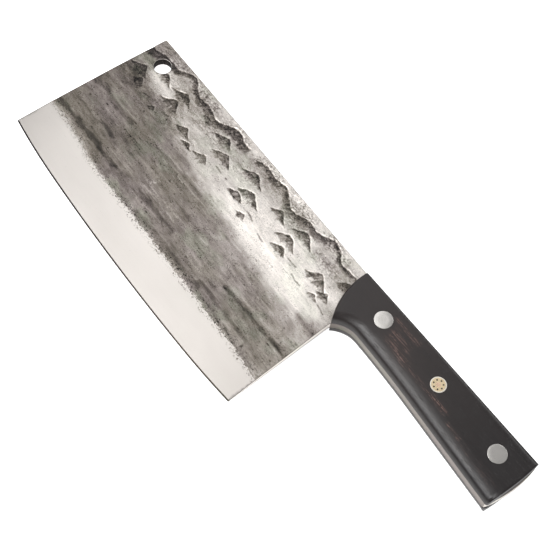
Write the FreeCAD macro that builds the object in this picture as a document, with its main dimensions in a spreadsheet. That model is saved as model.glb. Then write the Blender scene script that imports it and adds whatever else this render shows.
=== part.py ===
import FreeCAD, Part
import math
import os
import Sketcher

# Full-tang kitchen cleaver, lying flat on one side.  Millimetres.
# Every piece is drawn in one design frame: X runs from the tip edge to the butt, Y from the lowest
# point of the cutting edge up to the spine, and Z is zero on the middle plane of the steel.  The
# Placement of each piece then carries it to the part frame: origin under the middle of the cleaver,
# on the surface that the rear scale lies on, +X to the butt, +Y to the spine, +Z up.

DIMENSIONS = [
    # blade outline
    ("tip_foot_x", 0.0), ("tip_foot_y", 4.9), ("tip_top_x", 0.5), ("spine_y", 97.7),
    ("edge_low_x", 105.6), ("belly_radius", 1463.0),
    ("tip_sweep_x", 37.2), ("heel_sweep_x", 154.0), ("heel_x", 188.7), ("heel_y", 3.1),
    # steel thickness, measured from the middle plane, and the heights where the grinds start
    ("steel_half", 2.425), ("grind_y", 64.5), ("bevel_y", 22.4), ("bevel_half", 1.5),
    ("waste", 2.0), ("waste_half", 0.3), ("micro_bevel", 0.33),
    # handle outline, shared by the tang and the scales
    ("neck_x", 185.1), ("neck_centre_x", 198.0), ("neck_centre_y", 56.28), ("neck_radius", 16.0),
    ("brow_radius", 680.0), ("handle_front_x", 175.4), ("handle_front_y", 95.9),
    ("butt_x", 296.7), ("butt_top_y", 98.6), ("butt_low_x", 295.9), ("butt_low_y", 67.6),
    ("butt_radius", 65.8),
    ("corner_radius", 1.5), ("heel_corner_radius", 3.0),
    ("shoulder_radius", 0.9),
    # scales
    ("scale_tip_x", 186.2), ("scale_front_radius", 48.0), ("scale_butt_x", 296.6),
    ("scale_butt_radius", 150.0), ("scale_outer", 8.92), ("scale_round", 2.9),
    # hanging hole
    ("hole_x", 14.14), ("hole_y", 85.8), ("hole_radius", 4.8), ("hole_chamfer", 0.35),
    # rivets: the sleeve is pressed in from the front face, the pin from the rear face
    ("rivet_front_x", 200.2), ("rivet_rear_x", 281.9), ("rivet_y", 85.6),
    ("rivet_head_radius", 4.7), ("rivet_head_thick", 1.8), ("rivet_sleeve_radius", 3.2),
    ("rivet_shank_radius", 2.0), ("rivet_bore_floor", 1.2), ("rivet_end_gap", 0.5),
    # mosaic pin
    ("mosaic_x", 240.7), ("mosaic_y", 85.5), ("mosaic_radius", 4.0), ("mosaic_tube_inner", 3.45),
    ("mosaic_dot_radius", 0.43), ("mosaic_ring_radius", 2.4), ("mosaic_core_radius", 1.3),
    # middle of the whole cleaver in the design frame
    ("middle_x", 149.08), ("middle_y", 49.27),
]
MOSAIC_DOTS = 7
SHEET = "Dimensions"
NEAR = 0.02

size = dict(DIMENSIONS)
doc = FreeCAD.newDocument("cleaver")


# ---------------------------------------------------------------- sheet and terms
# A term is a sum of sheet cells, such as "scale_outer - rivet_head_thick".

def make_sheet():
    sheet = doc.addObject("Spreadsheet::Sheet", SHEET)
    for row, (alias, number) in enumerate(DIMENSIONS, start=1):
        sheet.set("A%d" % row, alias)
        sheet.set("B%d" % row, str(number))
        sheet.setAlias("B%d" % row, alias)
    doc.recompute()


def cells(term):
    """The term as an expression on the sheet."""
    words = [word if word in ("+", "-") else SHEET + "." + word for word in term.split()]
    return " ".join(words)


def worth(term):
    """The term's present number."""
    total = 0.0
    sign = 1.0
    for word in term.split():
        if word in ("+", "-"):
            sign = -1.0 if word == "-" else 1.0
        else:
            total += sign * size[word]
    return total


def vec(x, y, z=0.0):
    return FreeCAD.Vector(x, y, z)


# ---------------------------------------------------------------- sketch helpers

def bind(sketch, kind, references, term):
    """Adds a dimension that the sheet drives."""
    index = sketch.addConstraint(Sketcher.Constraint(kind, *references, worth(term)))
    sketch.setExpression("Constraints[%d]" % index, cells(term))


def pin(sketch, geometry, vertex, x_term, y_term):
    """Fixes a vertex by its distances from the sketch origin."""
    bind(sketch, "DistanceX", (-1, 1, geometry, vertex), x_term)
    bind(sketch, "DistanceY", (-1, 1, geometry, vertex), y_term)


def join(sketch, first, first_vertex, second, second_vertex):
    sketch.addConstraint(
        Sketcher.Constraint("Coincident", first, first_vertex, second, second_vertex))


def line(sketch, start, end):
    return sketch.addGeometry(Part.LineSegment(vec(*start), vec(*end)), False)


def arc_centre(start, end, radius):
    """Centre of the arc that runs anticlockwise from start to end by less than half a turn."""
    dx = end[0] - start[0]
    dy = end[1] - start[1]
    chord = math.hypot(dx, dy)
    reach = math.sqrt(radius ** 2 - chord ** 2 / 4.0) / chord
    return ((start[0] + end[0]) / 2 - dy * reach, (start[1] + end[1]) / 2 + dx * reach)


def arc(sketch, centre, start, end):
    """Arc drawn anticlockwise: vertex 1 is its start, vertex 2 its end and vertex 3 its centre."""
    first = math.atan2(start[1] - centre[1], start[0] - centre[0])
    last = math.atan2(end[1] - centre[1], end[0] - centre[0])
    if last < first:
        last += 2 * math.pi
    radius = math.hypot(start[0] - centre[0], start[1] - centre[1])
    circle = Part.Circle(vec(*centre), vec(0, 0, 1), radius)
    return sketch.addGeometry(Part.ArcOfCircle(circle, first, last), False)


def draw_circle(sketch, x_term, y_term, radius_term):
    circle = Part.Circle(vec(worth(x_term), worth(y_term)), vec(0, 0, 1), worth(radius_term))
    geometry = sketch.addGeometry(circle, False)
    pin(sketch, geometry, 3, x_term, y_term)
    bind(sketch, "Radius", (geometry,), radius_term)


def draw_polygon(sketch, corners):
    """Closed outline of straight lines through corners given as pairs of terms."""
    points = [(worth(x_term), worth(y_term)) for x_term, y_term in corners]
    lines = [line(sketch, a, b) for a, b in zip(points, points[1:] + points[:1])]
    for number, geometry in enumerate(lines):
        join(sketch, geometry, 2, lines[(number + 1) % len(lines)], 1)
        pin(sketch, geometry, 1, *corners[number])


# ---------------------------------------------------------------- body helpers

def new_body(label, x_term="- middle_x", y_term="- middle_y"):
    """Body whose own origin is the design frame's, or a point of it."""
    body = doc.addObject("PartDesign::Body", label)
    body.Label = label
    body.setExpression("Placement.Base.x", cells(x_term))
    body.setExpression("Placement.Base.y", cells(y_term))
    body.setExpression("Placement.Base.z", cells("scale_outer"))
    return body


def new_sketch(body, name, plane, offset_term=None):
    """Sketch on one of the body's own origin planes, or at an offset along the plane's normal."""
    sketch = body.newObject("Sketcher::SketchObject", name)
    planes = [feature for feature in body.Origin.OriginFeatures if feature.Role == plane]
    sketch.AttachmentSupport = [(planes[0], "")]
    sketch.MapMode = "FlatFace"
    if offset_term:
        sketch.setExpression("AttachmentOffset.Base.z", cells(offset_term))
    return sketch


def pocket(body, name, sketch, depth_term=None, reverse=False):
    """Pocket through the whole body, or to a depth; fails if it removes nothing."""
    before = body.Tip.Shape.Volume
    feature = body.newObject("PartDesign::Pocket", name)
    feature.Profile = sketch
    if depth_term:
        feature.Reversed = reverse
        feature.setExpression("Length", cells(depth_term))
    else:
        feature.Type = "ThroughAll"
        feature.SideType = "Symmetric"
    doc.recompute()
    if feature.Shape.Volume > before - NEAR:
        raise RuntimeError(name + " removes nothing")
    return feature


def edges_at(shape, test):
    """Names of the edges that pass the test, which is given the edge and its middle point."""
    names = []
    for number, edge in enumerate(shape.Edges, start=1):
        middle = edge.valueAt((edge.FirstParameter + edge.LastParameter) / 2)
        if test(edge, middle):
            names.append("Edge%d" % number)
    return names


def dress(body, kind, name, base, test, size_name, size_term):
    """Fillet or chamfer on the edges of the base feature that pass the test."""
    feature = body.newObject("PartDesign::" + kind, name)
    feature.Base = (base, edges_at(base.Shape, test))
    feature.setExpression(size_name, cells(size_term))
    doc.recompute()
    return feature


def upright_at(x_term, y_term):
    """Test for an edge along Z through the given point."""
    def test(edge, middle):
        ends = [vertex.Point for vertex in edge.Vertexes]
        upright = len(ends) == 2 and abs(abs(ends[0].z - ends[1].z) - edge.Length) < NEAR
        return upright and abs(middle.x - worth(x_term)) < NEAR and abs(middle.y - worth(y_term)) < NEAR
    return test


# ---------------------------------------------------------------- outline pieces

def neck_front(x_term):
    """Point of the neck arc at the given distance along the cleaver."""
    run = size["neck_centre_x"] - worth(x_term)
    return (worth(x_term), size["neck_centre_y"] + math.sqrt(size["neck_radius"] ** 2 - run ** 2))


def touching(corner, centre, radius):
    """Point where the line from the corner touches the upper side of a circle."""
    dx = corner[0] - centre[0]
    dy = corner[1] - centre[1]
    turn = math.atan2(dy, dx) + math.acos(radius / math.hypot(dx, dy))
    return (centre[0] + radius * math.cos(turn), centre[1] + radius * math.sin(turn))


def draw_grip(sketch, front_x_term, butt_x_term, butt_low_x_term, butt_radius_term):
    """Neck, brow, belly, butt and top of the handle.  Returns the neck arc and the top line.

    Vertex 2 of each is its front end, which the caller joins to the rest of the outline.
    """
    centre = (size["neck_centre_x"], size["neck_centre_y"])
    brow_front = (centre[0], centre[1] + size["neck_radius"])
    butt_low = (worth(butt_low_x_term), size["butt_low_y"])
    butt_top = (worth(butt_x_term), size["butt_top_y"])
    front = (size["handle_front_x"], size["handle_front_y"])

    neck = arc(sketch, centre, brow_front, neck_front(front_x_term))
    brow_centre = (centre[0], brow_front[1] - size["brow_radius"])
    brow_end = touching(butt_low, brow_centre, size["brow_radius"])
    brow = arc(sketch, brow_centre, brow_end, brow_front)
    belly = line(sketch, butt_low, brow_end)
    butt = arc(sketch, arc_centre(butt_low, butt_top, worth(butt_radius_term)), butt_low, butt_top)
    top = line(sketch, butt_top, front)

    join(sketch, neck, 1, brow, 2)
    sketch.addConstraint(Sketcher.Constraint("Tangent", brow, 1, belly, 2))
    join(sketch, belly, 1, butt, 1)
    join(sketch, butt, 2, top, 1)
    pin(sketch, neck, 3, "neck_centre_x", "neck_centre_y")
    bind(sketch, "Radius", (neck,), "neck_radius")
    bind(sketch, "DistanceX", (-1, 1, neck, 1), "neck_centre_x")
    bind(sketch, "DistanceX", (-1, 1, neck, 2), front_x_term)
    bind(sketch, "Radius", (brow,), "brow_radius")
    bind(sketch, "DistanceX", (-1, 1, brow, 3), "neck_centre_x")
    bind(sketch, "Radius", (butt,), butt_radius_term)
    pin(sketch, butt, 1, butt_low_x_term, "butt_low_y")
    pin(sketch, butt, 2, butt_x_term, "butt_top_y")
    pin(sketch, top, 2, "handle_front_x", "handle_front_y")
    return neck, top


def draw_cutting_edge(sketch):
    """Tip sweep, belly and heel sweep, each tangent to the next.  Returns the first and the last."""
    radius = size["belly_radius"]
    centre = (size["edge_low_x"], radius)

    def on_belly(x):
        return (x, centre[1] - math.sqrt(radius ** 2 - (x - centre[0]) ** 2))

    def sweep_centre(joint, corner):
        """Centre of the arc that leaves the belly at the joint and passes through the corner."""
        nx = (centre[0] - joint[0]) / radius
        ny = (centre[1] - joint[1]) / radius
        dx = corner[0] - joint[0]
        dy = corner[1] - joint[1]
        sweep = (dx ** 2 + dy ** 2) / (2 * (nx * dx + ny * dy))
        return (joint[0] + nx * sweep, joint[1] + ny * sweep)

    tip = (size["tip_foot_x"], size["tip_foot_y"])
    heel = (size["heel_x"], size["heel_y"])
    front = on_belly(size["tip_sweep_x"])
    rear = on_belly(size["heel_sweep_x"])
    tip_sweep = arc(sketch, sweep_centre(front, tip), tip, front)
    belly = arc(sketch, centre, front, rear)
    heel_sweep = arc(sketch, sweep_centre(rear, heel), rear, heel)
    sketch.addConstraint(Sketcher.Constraint("Tangent", tip_sweep, 2, belly, 1))
    sketch.addConstraint(Sketcher.Constraint("Tangent", belly, 2, heel_sweep, 1))
    bind(sketch, "Radius", (belly,), "belly_radius")
    pin(sketch, belly, 3, "edge_low_x", "belly_radius")
    bind(sketch, "DistanceX", (-1, 1, belly, 1), "tip_sweep_x")
    bind(sketch, "DistanceX", (-1, 1, belly, 2), "heel_sweep_x")
    pin(sketch, tip_sweep, 1, "tip_foot_x", "tip_foot_y")
    pin(sketch, heel_sweep, 2, "heel_x", "heel_y")
    return tip_sweep, heel_sweep


# ---------------------------------------------------------------- blade

def draw_blade_outline(sketch):
    tip_sweep, heel_sweep = draw_cutting_edge(sketch)
    neck, top = draw_grip(sketch, "neck_x", "butt_x", "butt_low_x", "butt_radius")
    front = (size["handle_front_x"], size["handle_front_y"])
    shoulder_top = (size["handle_front_x"], size["spine_y"])
    tip_top = (size["tip_top_x"], size["spine_y"])
    heel = line(sketch, (size["heel_x"], size["heel_y"]), neck_front("neck_x"))
    shoulder = line(sketch, front, shoulder_top)
    spine = line(sketch, shoulder_top, tip_top)
    tip = line(sketch, tip_top, (size["tip_foot_x"], size["tip_foot_y"]))
    join(sketch, heel_sweep, 2, heel, 1)
    join(sketch, heel, 2, neck, 2)
    join(sketch, top, 2, shoulder, 1)
    join(sketch, shoulder, 2, spine, 1)
    join(sketch, spine, 2, tip, 1)
    join(sketch, tip, 2, tip_sweep, 1)
    pin(sketch, spine, 1, "handle_front_x", "spine_y")
    pin(sketch, spine, 2, "tip_top_x", "spine_y")


def draw_grinds(sketch):
    """Waste outside the main taper and the wide bevel of both sides, seen along the blade."""
    for side in ("", "- "):
        draw_polygon(sketch, [
            ("grind_y", side + "steel_half"),
            ("bevel_y", side + "bevel_half"),
            ("- waste", side + "waste_half"),
            ("- waste", side + "scale_outer"),
            ("grind_y", side + "scale_outer"),
        ])


def make_blade():
    """One forged plate: blade, neck and full tang, with the hanging hole and the rivet holes."""
    body = new_body("blade")
    outline = new_sketch(body, "blade_outline", "XY_Plane")
    draw_blade_outline(outline)
    plate = body.newObject("PartDesign::Pad", "blade_plate")
    plate.Profile = outline
    plate.SideType = "Symmetric"
    plate.setExpression("Length", cells("steel_half + steel_half"))
    doc.recompute()

    grinds = new_sketch(body, "blade_grinds", "YZ_Plane")
    draw_grinds(grinds)
    pocket(body, "blade_ground", grinds)

    holes = new_sketch(body, "blade_holes", "XY_Plane")
    draw_circle(holes, "hole_x", "hole_y", "hole_radius")
    draw_circle(holes, "rivet_front_x", "rivet_y", "rivet_sleeve_radius")
    draw_circle(holes, "rivet_rear_x", "rivet_y", "rivet_sleeve_radius")
    draw_circle(holes, "mosaic_x", "mosaic_y", "mosaic_radius")
    step = pocket(body, "blade_drilled", holes)

    for name, x_term, y_term, radius_term in (
            ("blade_butt_top", "butt_x", "butt_top_y", "corner_radius"),
            ("blade_butt_low", "butt_low_x", "butt_low_y", "corner_radius"),
            ("blade_shoulder", "handle_front_x", "handle_front_y", "shoulder_radius")):
        step = dress(body, "Fillet", name, step, upright_at(x_term, y_term), "Radius", radius_term)

    def at_neck(edge, middle):
        corner = neck_front("neck_x")
        return math.hypot(middle.x - corner[0], middle.y - corner[1]) < NEAR

    step = dress(body, "Fillet", "blade_neck", step, at_neck, "Radius", "heel_corner_radius")

    def at_hole_rim(edge, middle):
        reach = math.hypot(middle.x - size["hole_x"], middle.y - size["hole_y"])
        return len(edge.Vertexes) == 1 and abs(reach - size["hole_radius"]) < NEAR

    step = dress(body, "Chamfer", "blade_hole_rim", step, at_hole_rim, "Size", "hole_chamfer")

    def at_cutting_edge(edge, middle):
        low = middle.y < size["tip_foot_y"] and size["tip_foot_x"] < middle.x < size["heel_x"]
        return low and abs(middle.z) > size["waste_half"] and edge.Length > size["tip_foot_y"]

    dress(body, "Chamfer", "blade_micro_bevel", step, at_cutting_edge, "Size", "micro_bevel")


# ---------------------------------------------------------------- scales

def make_scale(label, front):
    """One handle scale, seated on the front (+Z) or the rear (-Z) face of the tang."""
    side = "" if front else "- "
    outer = worth(side + "scale_outer")
    body = new_body(label)
    outline = new_sketch(body, label + "_outline", "XY_Plane", side + "steel_half")
    neck, top = draw_grip(outline, "scale_tip_x", "scale_butt_x", "scale_butt_x",
                          "scale_butt_radius")
    start = (size["handle_front_x"], size["handle_front_y"])
    end = neck_front("scale_tip_x")
    nose = arc(outline, arc_centre(start, end, size["scale_front_radius"]), start, end)
    join(outline, top, 2, nose, 1)
    join(outline, nose, 2, neck, 2)
    bind(outline, "Radius", (nose,), "scale_front_radius")

    slab = body.newObject("PartDesign::Pad", label + "_slab")
    slab.Profile = outline
    slab.Reversed = not front
    slab.setExpression("Length", cells("scale_outer - steel_half"))
    doc.recompute()

    step = slab
    for name, x_term, y_term in (("_top_corner", "scale_butt_x", "butt_top_y"),
                                 ("_low_corner", "scale_butt_x", "butt_low_y")):
        step = dress(body, "Fillet", label + name, step, upright_at(x_term, y_term),
                     "Radius", "corner_radius")

    def on_outer_face(edge, middle):
        return abs(middle.z - outer) < NEAR

    dress(body, "Fillet", label + "_rounding", step, on_outer_face, "Radius", "scale_round")

    bores = new_sketch(body, label + "_bores", "XY_Plane")
    draw_circle(bores, "rivet_front_x", "rivet_y", "rivet_sleeve_radius")
    draw_circle(bores, "rivet_rear_x", "rivet_y", "rivet_sleeve_radius")
    draw_circle(bores, "mosaic_x", "mosaic_y", "mosaic_radius")
    pocket(body, label + "_bored", bores)

    seats = new_sketch(body, label + "_rivet_seats", "XY_Plane", side + "scale_outer")
    draw_circle(seats, "rivet_front_x", "rivet_y", "rivet_head_radius")
    draw_circle(seats, "rivet_rear_x", "rivet_y", "rivet_head_radius")
    pocket(body, label + "_sunk", seats, "rivet_head_thick", not front)


# ---------------------------------------------------------------- rivets

def make_turned(label, x_term, profile_corners):
    """Piece turned about a rivet's axis; its profile is drawn as radius and height."""
    body = new_body(label, x_term + " - middle_x", "rivet_y - middle_y")
    profile = new_sketch(body, label + "_profile", "XZ_Plane")
    draw_polygon(profile, profile_corners)
    turned = body.newObject("PartDesign::Revolution", label + "_turned")
    turned.Profile = profile
    turned.ReferenceAxis = (profile, ["V_Axis"])
    turned.Angle = 360.0
    doc.recompute()


def make_rivet(name, x_term):
    """Cutlery rivet in two halves: a headed sleeve from the front and a headed pin from the rear."""
    axis = "tip_foot_x"
    under_front_head = "scale_outer - rivet_head_thick"
    over_rear_head = "- scale_outer + rivet_head_thick"
    make_turned(name + "_rivet_sleeve", x_term, [
        (axis, "scale_outer"),
        (axis, under_front_head + " - rivet_bore_floor"),
        ("rivet_shank_radius", under_front_head + " - rivet_bore_floor"),
        ("rivet_shank_radius", over_rear_head + " + rivet_end_gap"),
        ("rivet_sleeve_radius", over_rear_head + " + rivet_end_gap"),
        ("rivet_sleeve_radius", under_front_head),
        ("rivet_head_radius", under_front_head),
        ("rivet_head_radius", "scale_outer"),
    ])
    make_turned(name + "_rivet_pin", x_term, [
        (axis, "- scale_outer"),
        ("rivet_head_radius", "- scale_outer"),
        ("rivet_head_radius", over_rear_head),
        ("rivet_shank_radius", over_rear_head),
        ("rivet_shank_radius", under_front_head + " - rivet_bore_floor - rivet_end_gap"),
        (axis, under_front_head + " - rivet_bore_floor - rivet_end_gap"),
    ])


# ---------------------------------------------------------------- mosaic pin

def make_cylinder(label, radius_term, x_offset="", y_offset=""):
    """Cylinder through the whole handle, about the mosaic pin's axis or at an offset from it."""
    cylinder = doc.addObject("Part::Cylinder", label)
    cylinder.Label = label
    cylinder.setExpression("Radius", cells(radius_term))
    cylinder.setExpression("Height", cells("scale_outer + scale_outer"))
    cylinder.setExpression("Placement.Base.x", cells("mosaic_x - middle_x") + x_offset)
    cylinder.setExpression("Placement.Base.y", cells("mosaic_y - middle_y") + y_offset)
    return cylinder


def make_mosaic_pin():
    """Tube, brass body, its copper core and the seven holes round it that are filled with resin."""
    tube = doc.addObject("Part::Cut", "mosaic_tube")
    tube.Label = "mosaic_tube"
    tube.Base = make_cylinder("tube_stock", "mosaic_radius")
    tube.Tool = make_cylinder("tube_bore", "mosaic_tube_inner")

    dots = []
    for number in range(MOSAIC_DOTS):
        ring = " + %s.mosaic_ring_radius * %s(%d * 360 / %d)"
        x_offset = ring % (SHEET, "cos", number, MOSAIC_DOTS)
        y_offset = ring % (SHEET, "sin", number, MOSAIC_DOTS)
        label = "mosaic_dot_%d" % (number + 1)
        dots.append(make_cylinder(label, "mosaic_dot_radius", x_offset, y_offset))
    core = make_cylinder("mosaic_core", "mosaic_core_radius")

    filling = doc.addObject("Part::MultiFuse", "mosaic_filling")
    filling.Shapes = dots + [core]
    body = doc.addObject("Part::Cut", "mosaic_body")
    body.Label = "mosaic_body"
    body.Base = make_cylinder("body_stock", "mosaic_tube_inner")
    body.Tool = filling
    doc.recompute()


# ---------------------------------------------------------------- assembly

NODES = (
    ["blade", "front_scale", "rear_scale"]
    + [name + half for name in ("neck_end", "butt_end") for half in ("_rivet_sleeve", "_rivet_pin")]
    + ["mosaic_tube", "mosaic_body", "mosaic_core"]
    + ["mosaic_dot_%d" % (number + 1) for number in range(MOSAIC_DOTS)]
)


def write_nodes():
    """Checks every object, then writes one STEP file for each node."""
    doc.recompute()
    for item in doc.Objects:
        if "Invalid" in item.State or "Error" in item.State:
            raise RuntimeError("%s is in state %s" % (item.Label, item.State))
    shapes = {}
    for node in NODES:
        shape = doc.getObjectsByLabel(node)[0].Shape
        if shape.isNull() or not shape.isValid():
            raise RuntimeError(node + " has no valid shape")
        if len(shape.Solids) != 1:
            raise RuntimeError("%s has %d solids" % (node, len(shape.Solids)))
        shapes[node] = shape
    os.makedirs("parts", exist_ok=True)
    for node, shape in shapes.items():
        shape.exportStep("parts/%s.step" % node)
        box = shape.BoundBox
        print("%-24s %9.1f mm3  x %8.2f %8.2f  y %7.2f %7.2f  z %6.2f %6.2f" % (
            node, shape.Volume, box.XMin, box.XMax, box.YMin, box.YMax, box.ZMin, box.ZMax))


make_sheet()
make_blade()
make_scale("front_scale", True)
make_scale("rear_scale", False)
make_rivet("neck_end", "rivet_front_x")
make_rivet("butt_end", "rivet_rear_x")
make_mosaic_pin()
write_nodes()
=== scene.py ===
import math

import bpy
import numpy as np
from mathutils import Matrix, Vector
from mathutils.geometry import delaunay_2d_cdt
from mathutils.kdtree import KDTree


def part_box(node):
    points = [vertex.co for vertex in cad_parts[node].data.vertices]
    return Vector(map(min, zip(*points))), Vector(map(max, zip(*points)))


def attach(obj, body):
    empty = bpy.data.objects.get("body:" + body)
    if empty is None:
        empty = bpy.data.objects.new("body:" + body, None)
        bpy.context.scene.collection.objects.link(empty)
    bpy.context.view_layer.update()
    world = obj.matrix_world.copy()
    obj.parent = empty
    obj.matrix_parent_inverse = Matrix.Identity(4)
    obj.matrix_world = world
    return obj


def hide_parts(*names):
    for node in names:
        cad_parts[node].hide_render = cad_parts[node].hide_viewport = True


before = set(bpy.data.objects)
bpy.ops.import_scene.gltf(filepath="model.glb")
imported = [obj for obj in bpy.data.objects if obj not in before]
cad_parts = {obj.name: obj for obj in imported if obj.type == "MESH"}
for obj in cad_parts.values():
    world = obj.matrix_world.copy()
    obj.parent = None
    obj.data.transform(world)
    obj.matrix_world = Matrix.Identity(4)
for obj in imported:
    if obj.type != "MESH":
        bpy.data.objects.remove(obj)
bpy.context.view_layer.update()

# Full-tang kitchen cleaver, lying flat on its rear scale.
# Shapes are drawn in the design frame of part.py, in millimetres: X from the tip to the butt, Y from
# the lowest point of the cutting edge up to the spine, Z from the middle plane of the steel.  The
# finish of the blade is laid out in blade coordinates: u along the blade from the tip edge, v down
# from the spine.

MM = 0.001
blade_low, blade_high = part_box("blade")
ORIGIN = np.array((blade_low.x, blade_low.y, (blade_low.z + blade_high.z) / 2))

# ---- sizes shared with part.py
SPINE_Y = 97.7
TIP_TOP = (0.5, SPINE_Y)
TIP_FOOT = (0.0, 4.9)
HEEL = (188.7, 3.1)
EDGE_LOW_X = 105.6
EDGE_RADIUS = 1463.0
TIP_SWEEP_X = 37.2
HEEL_SWEEP_X = 154.0
STEEL_HALF = 2.425
GRIND_Y = 64.5
BEVEL_Y = 22.4
BEVEL_HALF = 1.5
EDGE_HALF = 0.398
NECK_X = 185.1
NECK_CENTRE = (198.0, 56.28)
NECK_RADIUS = 16.0
BROW_RADIUS = 680.0
HANDLE_FRONT = (175.4, 95.9)
BUTT_X = 296.7
BUTT_TOP_Y = 98.6
BUTT_LOW_X = 295.9
BUTT_LOW_Y = 67.6
BUTT_RADIUS = 65.8
SCALE_BUTT_X = 296.6
SCALE_BUTT_RADIUS = 150.0
SCALE_OUTER = 8.92
HOLE = (14.14, 85.8)
HOLE_RADIUS = 4.8
RIVET_XS = (200.2, 281.9)
RIVET_Y = 85.6
RIVET_HEAD_RADIUS = 4.7
RIVET_HEAD_THICK = 1.8
RIVET_SLEEVE_RADIUS = 3.2
RIVET_BORE = 2.0
MOSAIC = (240.7, 85.5)
MOSAIC_RADIUS = 4.0

# ---- sizes of the finish
SCALE_TIP_X = 185.3      # the front of the dressed scales is up to 0.9 mm off the CAD's
SCALE_FRONT_RADIUS = 42.0
SEAM = 0.03              # the dressed pieces stay this far inside the outline of the CAD
RISE_LIMIT = 0.03        # the most that relief may rise along the edge of a face
SKIN_SEEDS = {1: 100, -1: 900}
MIRROR_LENGTH = 176.0    # the rear face has its pattern turned round over this length
SCALE_SEAT_U = 172.5     # the relief ends where the scales sit on the blade
HOLE_CHAMFER = 0.4


# ---- plane curves

def circle(centre, radius, count):
    turn = np.linspace(0, 2 * math.pi, count, endpoint=False)
    return np.c_[centre[0] + radius * np.cos(turn), centre[1] + radius * np.sin(turn)]


def straight(start, end, count=40):
    return np.linspace(start, end, count)


def arc_about(centre, start, end, count=60):
    """Arc from start to end about the centre, the short way round."""
    first = math.atan2(start[1] - centre[1], start[0] - centre[0])
    last = math.atan2(end[1] - centre[1], end[0] - centre[0])
    sweep = (last - first + math.pi) % (2 * math.pi) - math.pi
    turn = first + sweep * np.linspace(0, 1, count)
    radius = math.hypot(start[0] - centre[0], start[1] - centre[1])
    return np.c_[centre[0] + radius * np.cos(turn), centre[1] + radius * np.sin(turn)]


def centre_left(start, end, radius):
    """Centre of an arc from start to end that lies to the left of the chord."""
    dx = end[0] - start[0]
    dy = end[1] - start[1]
    chord = math.hypot(dx, dy)
    reach = math.sqrt(radius ** 2 - chord ** 2 / 4) / chord
    return ((start[0] + end[0]) / 2 - dy * reach, (start[1] + end[1]) / 2 + dx * reach)


def cutting_edge():
    centre = (EDGE_LOW_X, EDGE_RADIUS)

    def on_belly(x):
        return (x, centre[1] - math.sqrt(EDGE_RADIUS ** 2 - (x - centre[0]) ** 2))

    def sweep_centre(joint, corner):
        nx = (centre[0] - joint[0]) / EDGE_RADIUS
        ny = (centre[1] - joint[1]) / EDGE_RADIUS
        dx = corner[0] - joint[0]
        dy = corner[1] - joint[1]
        sweep = (dx ** 2 + dy ** 2) / (2 * (nx * dx + ny * dy))
        return (joint[0] + nx * sweep, joint[1] + ny * sweep)

    front = on_belly(TIP_SWEEP_X)
    rear = on_belly(HEEL_SWEEP_X)
    return np.vstack([
        arc_about(sweep_centre(front, TIP_FOOT), TIP_FOOT, front, 30)[:-1],
        arc_about(centre, front, rear, 80),
        arc_about(sweep_centre(rear, HEEL), rear, HEEL, 30)[1:],
    ])


def neck_front(x):
    run = NECK_CENTRE[0] - x
    return (x, NECK_CENTRE[1] + math.sqrt(NECK_RADIUS ** 2 - run ** 2))


def touching(corner, centre, radius):
    """Point where the line from the corner touches the upper side of a circle."""
    dx = corner[0] - centre[0]
    dy = corner[1] - centre[1]
    turn = math.atan2(dy, dx) + math.acos(radius / math.hypot(dx, dy))
    return (centre[0] + radius * math.cos(turn), centre[1] + radius * math.sin(turn))


def grip_pieces(front_x, butt_x, butt_low_x, butt_radius):
    """Belly from the neck on, butt and top of the handle, in that order."""
    brow_front = (NECK_CENTRE[0], NECK_CENTRE[1] + NECK_RADIUS)
    brow_centre = (brow_front[0], brow_front[1] - BROW_RADIUS)
    butt_low = (butt_low_x, BUTT_LOW_Y)
    butt_top = (butt_x, BUTT_TOP_Y)
    brow_end = touching(butt_low, brow_centre, BROW_RADIUS)
    butt_centre = centre_left(butt_low, butt_top, butt_radius)
    belly = np.vstack([
        arc_about(NECK_CENTRE, neck_front(front_x), brow_front, 60)[:-1],
        arc_about(brow_centre, brow_front, brow_end)[:-1],
        straight(brow_end, butt_low),
    ])
    return [belly, arc_about(butt_centre, butt_low, butt_top), straight(butt_top, HANDLE_FRONT, 60)]


def lengths(points):
    return np.r_[0, np.cumsum(np.hypot(*np.diff(points, axis=0).T))]


def along(points, places):
    """Points at the given distances along a polyline."""
    total = lengths(points)
    return np.c_[np.interp(places, total, points[:, 0]), np.interp(places, total, points[:, 1])]


def inset_line(points, inset, spare):
    """The polyline moved to its left, and made longer at both ends by the spare length."""
    step = np.gradient(points, axis=0)
    step /= np.linalg.norm(step, axis=1)[:, None]
    moved = points + np.c_[-step[:, 1], step[:, 0]] * np.broadcast_to(inset, len(points))[:, None]
    return np.vstack([moved[0] - step[0] * spare, moved, moved[-1] + step[-1] * spare])


def crossing(first, second, near):
    """Distances along two polylines at the crossing that is nearest to a point."""
    p = first[:-1, None, :]
    r = (first[1:] - first[:-1])[:, None, :]
    q = second[None, :-1, :]
    s = (second[1:] - second[:-1])[None, :, :]
    cross = r[..., 0] * s[..., 1] - r[..., 1] * s[..., 0]
    cross = np.where(np.abs(cross) < 1e-12, 1e-12, cross)
    gap = q - p
    t = (gap[..., 0] * s[..., 1] - gap[..., 1] * s[..., 0]) / cross
    w = (gap[..., 0] * r[..., 1] - gap[..., 1] * r[..., 0]) / cross
    hit = (t >= 0) & (t <= 1) & (w >= 0) & (w <= 1)
    spots = p + r * t[..., None]
    away = np.where(hit, np.hypot(spots[..., 0] - near[0], spots[..., 1] - near[1]), np.inf)
    i, j = np.unravel_index(np.argmin(away), away.shape)
    if not np.isfinite(away[i, j]):
        raise RuntimeError("two outline pieces do not meet near %.1f, %.1f" % tuple(near))
    a = lengths(first)
    b = lengths(second)
    return a[i] + t[i, j] * (a[i + 1] - a[i]), b[j] + w[i, j] * (b[j + 1] - b[j]), spots[i, j]


CORNER_POINTS = 5


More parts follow.
